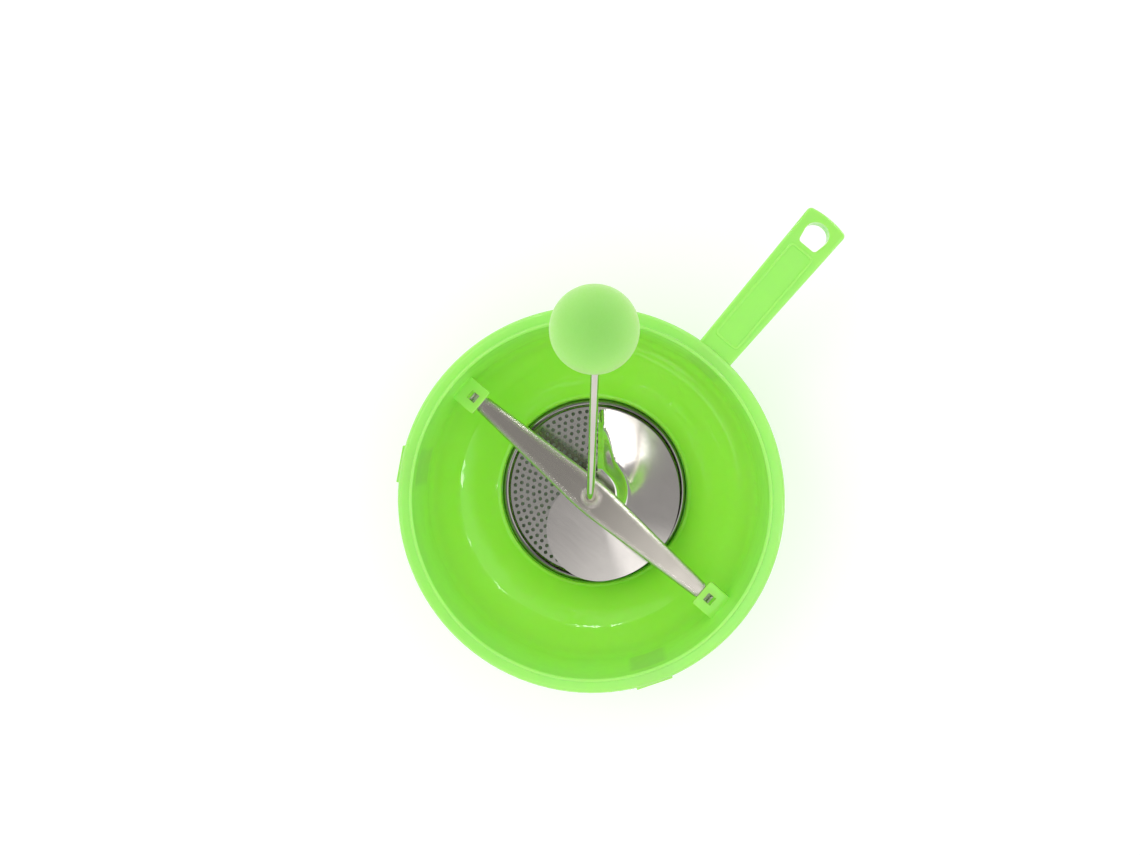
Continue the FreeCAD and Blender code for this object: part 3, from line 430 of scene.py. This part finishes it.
def tube_mesh(name, rings):
    """Closed tube through n rings of m points each: quads between neighbours, and a fan over each end."""
    count, around = rings.shape[:2]
    index = np.arange(count * around).reshape(count, around)
    beside = np.roll(index, -1, axis=1)
    sides = np.stack([index[:-1], beside[:-1], beside[1:], index[1:]], axis=-1).reshape(-1, 4)
    middles = rings[[0, -1]].mean(axis=1)
    first = np.full(around, count * around)
    fans = np.concatenate([
        np.stack([first, beside[0], index[0]], axis=-1),
        np.stack([first + 1, index[-1], beside[-1]], axis=-1),
    ])
    points = np.concatenate([rings.reshape(-1, 3), middles])
    mesh = bpy.data.meshes.new(name)
    mesh.from_pydata(points.tolist(), [], sides.tolist() + fans.tolist())
    mesh.shade_smooth()
    return mesh


def coil_rings(turns, wire_radius, end_rise, low, high, coil_radius):
    """Rings of a coil spring.

    The wire's middle goes round at the coil radius, its height climbing slowly over the end turns and
    evenly between. Each ring is a circle across the wire, spanned by the outward direction and the one
    square to both, and cut off level with the two ends, as ground wire is.
    """
    turn = np.linspace(0.0, turns, turns * RINGS_PER_TURN + 1)
    angle = 2 * np.pi * turn
    bottom = low + wire_radius
    top = high - wire_radius
    height = np.interp(turn, [0, 1, turns - 1, turns], [bottom, bottom + end_rise, top - end_rise, top])
    middle = np.stack([coil_radius * np.cos(angle), coil_radius * np.sin(angle), height], axis=-1)
    along = np.gradient(middle, axis=0)
    along /= np.linalg.norm(along, axis=1, keepdims=True)
    out = np.stack([np.cos(angle), np.sin(angle), np.zeros_like(angle)], axis=-1)
    across = np.cross(out, along)
    round_wire = np.linspace(0.0, 2 * np.pi, RING_POINTS, endpoint=False)
    rings = (middle[:, None]
             + wire_radius * np.cos(round_wire)[None, :, None] * out[:, None]
             + wire_radius * np.sin(round_wire)[None, :, None] * across[:, None])
    trim = GROUND_OFF * wire_radius
    rings[..., 2] = np.clip(rings[..., 2], low + trim, high - trim)
    return rings


def travel(joint):
    """How far a sliding joint goes, in metres."""
    return next(each for each in frame["joints"] if each["name"] == joint)["range_m"][1]


def add_piece(name, mesh, body, made):
    """Links a finished mesh as a steel piece of the mill that rides on a body."""
    piece = bpy.data.objects.new(name, mesh)
    bpy.context.scene.collection.objects.link(piece)
    mesh.materials.append(made)
    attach(piece, body)
    return piece


def finish_nodes(names, made):
    """Gives one material to some of the CAD pieces."""
    for name in names:
        mesh = frame["nodes"][name].data
        mesh.materials.clear()
        mesh.materials.append(made)


# Floor, light and camera

def add_floor(stage):
    """Plain pale floor that keeps the shadow and looks near white where it is open; near the mill it shows
    painted shade.
    """
    half = FLOOR_HALF
    mesh = bpy.data.meshes.new("floor")
    corners = [(-half, -half, 0), (half, -half, 0), (half, half, 0), (-half, half, 0)]
    mesh.from_pydata(corners, [], [(0, 1, 2, 3)])
    floor = bpy.data.objects.new("floor", mesh)
    bpy.context.scene.collection.objects.link(floor)
    made, tree, shader = new_material("pale_floor")
    shader.inputs["Base Color"].default_value = (*stage.floor, 1.0)
    shader.inputs["Roughness"].default_value = 0.8
    shader.inputs["Specular IOR Level"].default_value = 0.0
    shader.inputs["Emission Color"].default_value = WHITE
    # The whitening fades out towards the mill: painted shade under and round it
    lift = spread(tree, from_axis(tree), 0.0, stage.lift, PAINTED_SHADE_RADIUS, FULL_LIFT_RADIUS)
    tree.links.new(joined(tree, "MULTIPLY", seen_directly(tree), lift), shader.inputs["Emission Strength"])
    mesh.materials.append(made)


def add_sky(stage):
    """Even light from all sides, with white walls and a shaded ceiling for the eye and for reflections."""
    world = bpy.data.worlds.new("studio")
    bpy.context.scene.world = world
    world.use_nodes = True
    tree = world.node_tree
    background = tree.nodes["Background"]
    background.inputs["Color"].default_value = WHITE
    towards = axes(tree, tree.nodes.new("ShaderNodeTexCoord").outputs["Generated"])
    ceiling = spread(tree, towards["Y"], stage.ceiling_bright, stage.ceiling_dark, CEILING_FROM, CEILING_TO)
    walls = spread(tree, towards["Z"], 1.0, 0.0, WALL_TOP, CEILING_FOOT)
    room = mixed(tree, "FLOAT", walls, ceiling, 1.0)
    level = mixed(tree, "FLOAT", seen_directly(tree), stage.sky, room)
    tree.links.new(level, background.inputs["Strength"])


def add_softbox(name, place, width, height, power):
    """Softbox of a width and a height that faces the mill."""
    lamp = bpy.data.lights.new(name, "AREA")
    lamp.energy = power
    lamp.shape = "RECTANGLE"
    lamp.size = width
    lamp.size_y = height
    holder = bpy.data.objects.new(name, lamp)
    bpy.context.scene.collection.objects.link(holder)
    holder.location = place
    holder.rotation_euler = (Vector(LIT_POINT) - Vector(place)).to_track_quat("-Z", "Y").to_euler()
    return holder


def add_camera(stage):
    """Camera at the photograph's place, turned so that up in the picture is up there too."""
    data = bpy.data.cameras.new("eye")
    data.lens = stage.lens
    data.sensor_width = 36.0
    data.clip_start = 0.01
    eye = bpy.data.objects.new("eye", data)
    bpy.context.scene.collection.objects.link(eye)
    back = -Vector(stage.look).normalized()
    right = Vector(stage.up).cross(back).normalized()
    up = back.cross(right)
    turn = Matrix((right, up, back)).transposed().to_4x4()
    eye.matrix_world = Matrix.Translation(stage.eye) @ turn
    bpy.context.scene.camera = eye


# Operators

class MILL_OT_bowl(Operator):
    """Finishes the bowl moulding with its handle, hoods and lugs"""

    bl_idname = "mill.bowl"
    bl_label = "Bowl"

    def execute(self, context):
        look = context.scene.mill_plastic
        low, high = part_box("bowl")
        # Tones from the foot up: painted shade at the foot, painted light through the thin rim and handle
        tones = (look.bowl_deep, look.bowl, look.bowl_pale)
        made, tree, shader = plastic("lime_moulding", tones, low.z, high.z, look.bowl_gloss, look.glow,
                                     look.bowl_depth)
        # Painted shadow of the lugs seen through the wall
        paint_lug_shadows(tree, shader, look)
        finish_nodes(["bowl"], made)
        return {"FINISHED"}


class MILL_OT_knob(Operator):
    """Finishes both halves of the frosted ball knob"""

    bl_idname = "mill.knob"
    bl_label = "Knob"

    def execute(self, context):
        look = context.scene.mill_plastic
        low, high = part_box("knob_upper_half")
        # Tones from the foot up: painted light through the lower ball, painted shade on its top
        tones = (look.knob_pale, look.knob, look.knob_deep)
        made, tree, shader = plastic("frosted_ball", tones, low.z, high.z, look.knob_gloss, look.glow,
                                     look.knob_depth, look.knob_frost)
        shader.inputs["Sheen Weight"].default_value = look.knob_haze
        shader.inputs["Sheen Roughness"].default_value = look.haze_spread
        finish_nodes(["knob_lower_half", "knob_upper_half"], made)
        return {"FINISHED"}


class MILL_OT_disc(Operator):
    """Finishes the perforated disc, its bead round it darkened as a painted dark reflection"""

    bl_idname = "mill.disc"
    bl_label = "Sieve disc"

    def execute(self, context):
        look = context.scene.mill_steel
        made = steel("disc_sheet", look.disc, look.brush, *DISC_LINES)
        tree = made.node_tree
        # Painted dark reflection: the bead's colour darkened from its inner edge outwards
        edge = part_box("sieve_disc")[1].x - look.bead
        dull = spread(tree, from_axis(tree), 0.0, 1.0, edge, edge + BEAD_BLUR)
        shaded(tree, tree.nodes["Principled BSDF"], dull, look.bead_painted_shade)
        finish_nodes(["sieve_disc"], made)
        return {"FINISHED"}


class MILL_OT_blade(Operator):
    """Finishes the pressed ramp blade"""

    bl_idname = "mill.blade"
    bl_label = "Blade"

    def execute(self, context):
        look = context.scene.mill_steel
        finish_nodes(["blade"], steel("blade_sheet", look.sheet, look.polish, *BLADE_LINES))
        return {"FINISHED"}


class MILL_OT_bridge(Operator):
    """Finishes the bridge, brushed along its length"""

    bl_idname = "mill.bridge"
    bl_label = "Bridge"

    def execute(self, context):
        look = context.scene.mill_steel
        made = steel("bridge_strip", look.strip, look.brush, *BRIDGE_LINES, look.bend)
        finish_nodes(["bridge"], made)
        return {"FINISHED"}


class MILL_OT_crank(Operator):
    """Finishes the bent crank rod"""

    bl_idname = "mill.crank"
    bl_label = "Crank rod"

    def execute(self, context):
        look = context.scene.mill_steel
        finish_nodes(["crank_rod"], steel("drawn_rod", look.wire, look.polish, *ROD_LINES))
        return {"FINISHED"}


class MILL_OT_spring(Operator):
    """Winds the spring between blade and bridge, in two lengths that meet at the height that stays still"""

    bl_idname = "mill.spring"
    bl_label = "Spring"

    def execute(self, context):
        sizes = context.scene.mill_spring
        look = context.scene.mill_steel
        low, high = SPRING_BOX
        coil_radius = (high.x - low.x) / 2 - sizes.wire_radius
        rings = coil_rings(sizes.turns, sizes.wire_radius, sizes.end_rise, low.z, high.z, coil_radius)
        made = steel("spring_wire", look.wire, look.brush, *SPRING_LINES)
        lift = travel("rotor_lift")
        press = travel("bridge_press")
        tall = high.z - low.z
        still = low.z + tall * lift / (lift + press)
        cut = int(np.searchsorted(rings[..., 2].mean(axis=1), still))
        foot = add_piece("spring_foot", tube_mesh("spring_foot", rings[:cut + 1]), "spring_seat", made)
        head = add_piece("spring_head", tube_mesh("spring_head", rings[cut:]), "bridge", made)
        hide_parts("spring")
        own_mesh(foot)
        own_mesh(head)
        return {"FINISHED"}


class MILL_OT_fasteners(Operator):
    """Finishes the washers and the nut"""

    bl_idname = "mill.fasteners"
    bl_label = "Washers and nut"

    def execute(self, context):
        look = context.scene.mill_steel
        names = ["spring_upper_washer", "spring_lower_washer", "blade_clamp_washer", "blade_nut",
                 "knob_lock_washer"]
        finish_nodes(names, steel("plain_washers", look.sheet, look.brush, *WASHER_LINES))
        return {"FINISHED"}


class MILL_OT_stage(Operator):
    """Sets up the floor, the light and the camera"""

    bl_idname = "mill.stage"
    bl_label = "Stage"

    def execute(self, context):
        stage = context.scene.mill_stage
        context.scene.view_settings.view_transform = "Standard"
        add_floor(stage)
        add_sky(stage)
        for azimuth, elevation, width, height in PANES:
            turn = Euler((0, -math.radians(elevation), math.radians(azimuth)))
            place = turn.to_matrix() @ Vector((PANE_DISTANCE, 0, 0))
            power = stage.pane * math.pi * width * height
            pane = add_softbox("window_pane", place, width, height, power)
            pane.visible_diffuse = False
        add_softbox("overhead_softbox", SOFTBOX_PLACE, SOFTBOX_SIDE, SOFTBOX_SIDE, stage.fill)
        add_camera(stage)
        return {"FINISHED"}


class MILL_PT_panel(Panel):
    """Lists the steps and the settings of the mill"""

    bl_idname = "MILL_PT_panel"
    bl_label = "Food Mill"
    bl_space_type = "VIEW_3D"
    bl_region_type = "UI"
    bl_category = "Food Mill"

    def draw(self, context):
        for step in STEPS:
            self.layout.operator(step.bl_idname)
        for group in GROUPS:
            box = self.layout.box()
            settings = getattr(context.scene, group)
            for key in settings.__annotations__:
                box.prop(settings, key)


GROUPS = {
    "mill_plastic": MillPlastic,
    "mill_steel": MillSteel,
    "mill_spring": MillSpring,
    "mill_stage": MillStage,
}
STEPS = (MILL_OT_bowl, MILL_OT_knob, MILL_OT_disc, MILL_OT_blade, MILL_OT_bridge, MILL_OT_crank,
         MILL_OT_spring, MILL_OT_fasteners, MILL_OT_stage)


def register():
    """Registers every class and hangs the settings on the scene."""
    for group, made in GROUPS.items():
        bpy.utils.register_class(made)
        setattr(bpy.types.Scene, group, PointerProperty(type=made))
    for step in STEPS:
        bpy.utils.register_class(step)
    bpy.utils.register_class(MILL_PT_panel)


def unregister():
    """Takes the classes and the settings off again."""
    bpy.utils.unregister_class(MILL_PT_panel)
    for step in reversed(STEPS):
        bpy.utils.unregister_class(step)
    for group, made in reversed(GROUPS.items()):
        delattr(bpy.types.Scene, group)
        bpy.utils.unregister_class(made)


def main():
    """Runs every step in order."""
    register()
    bpy.ops.mill.bowl()
    bpy.ops.mill.knob()
    bpy.ops.mill.disc()
    bpy.ops.mill.blade()
    bpy.ops.mill.bridge()
    bpy.ops.mill.crank()
    bpy.ops.mill.spring()
    bpy.ops.mill.fasteners()
    bpy.ops.mill.stage()


if __name__ == "__main__":
    main()
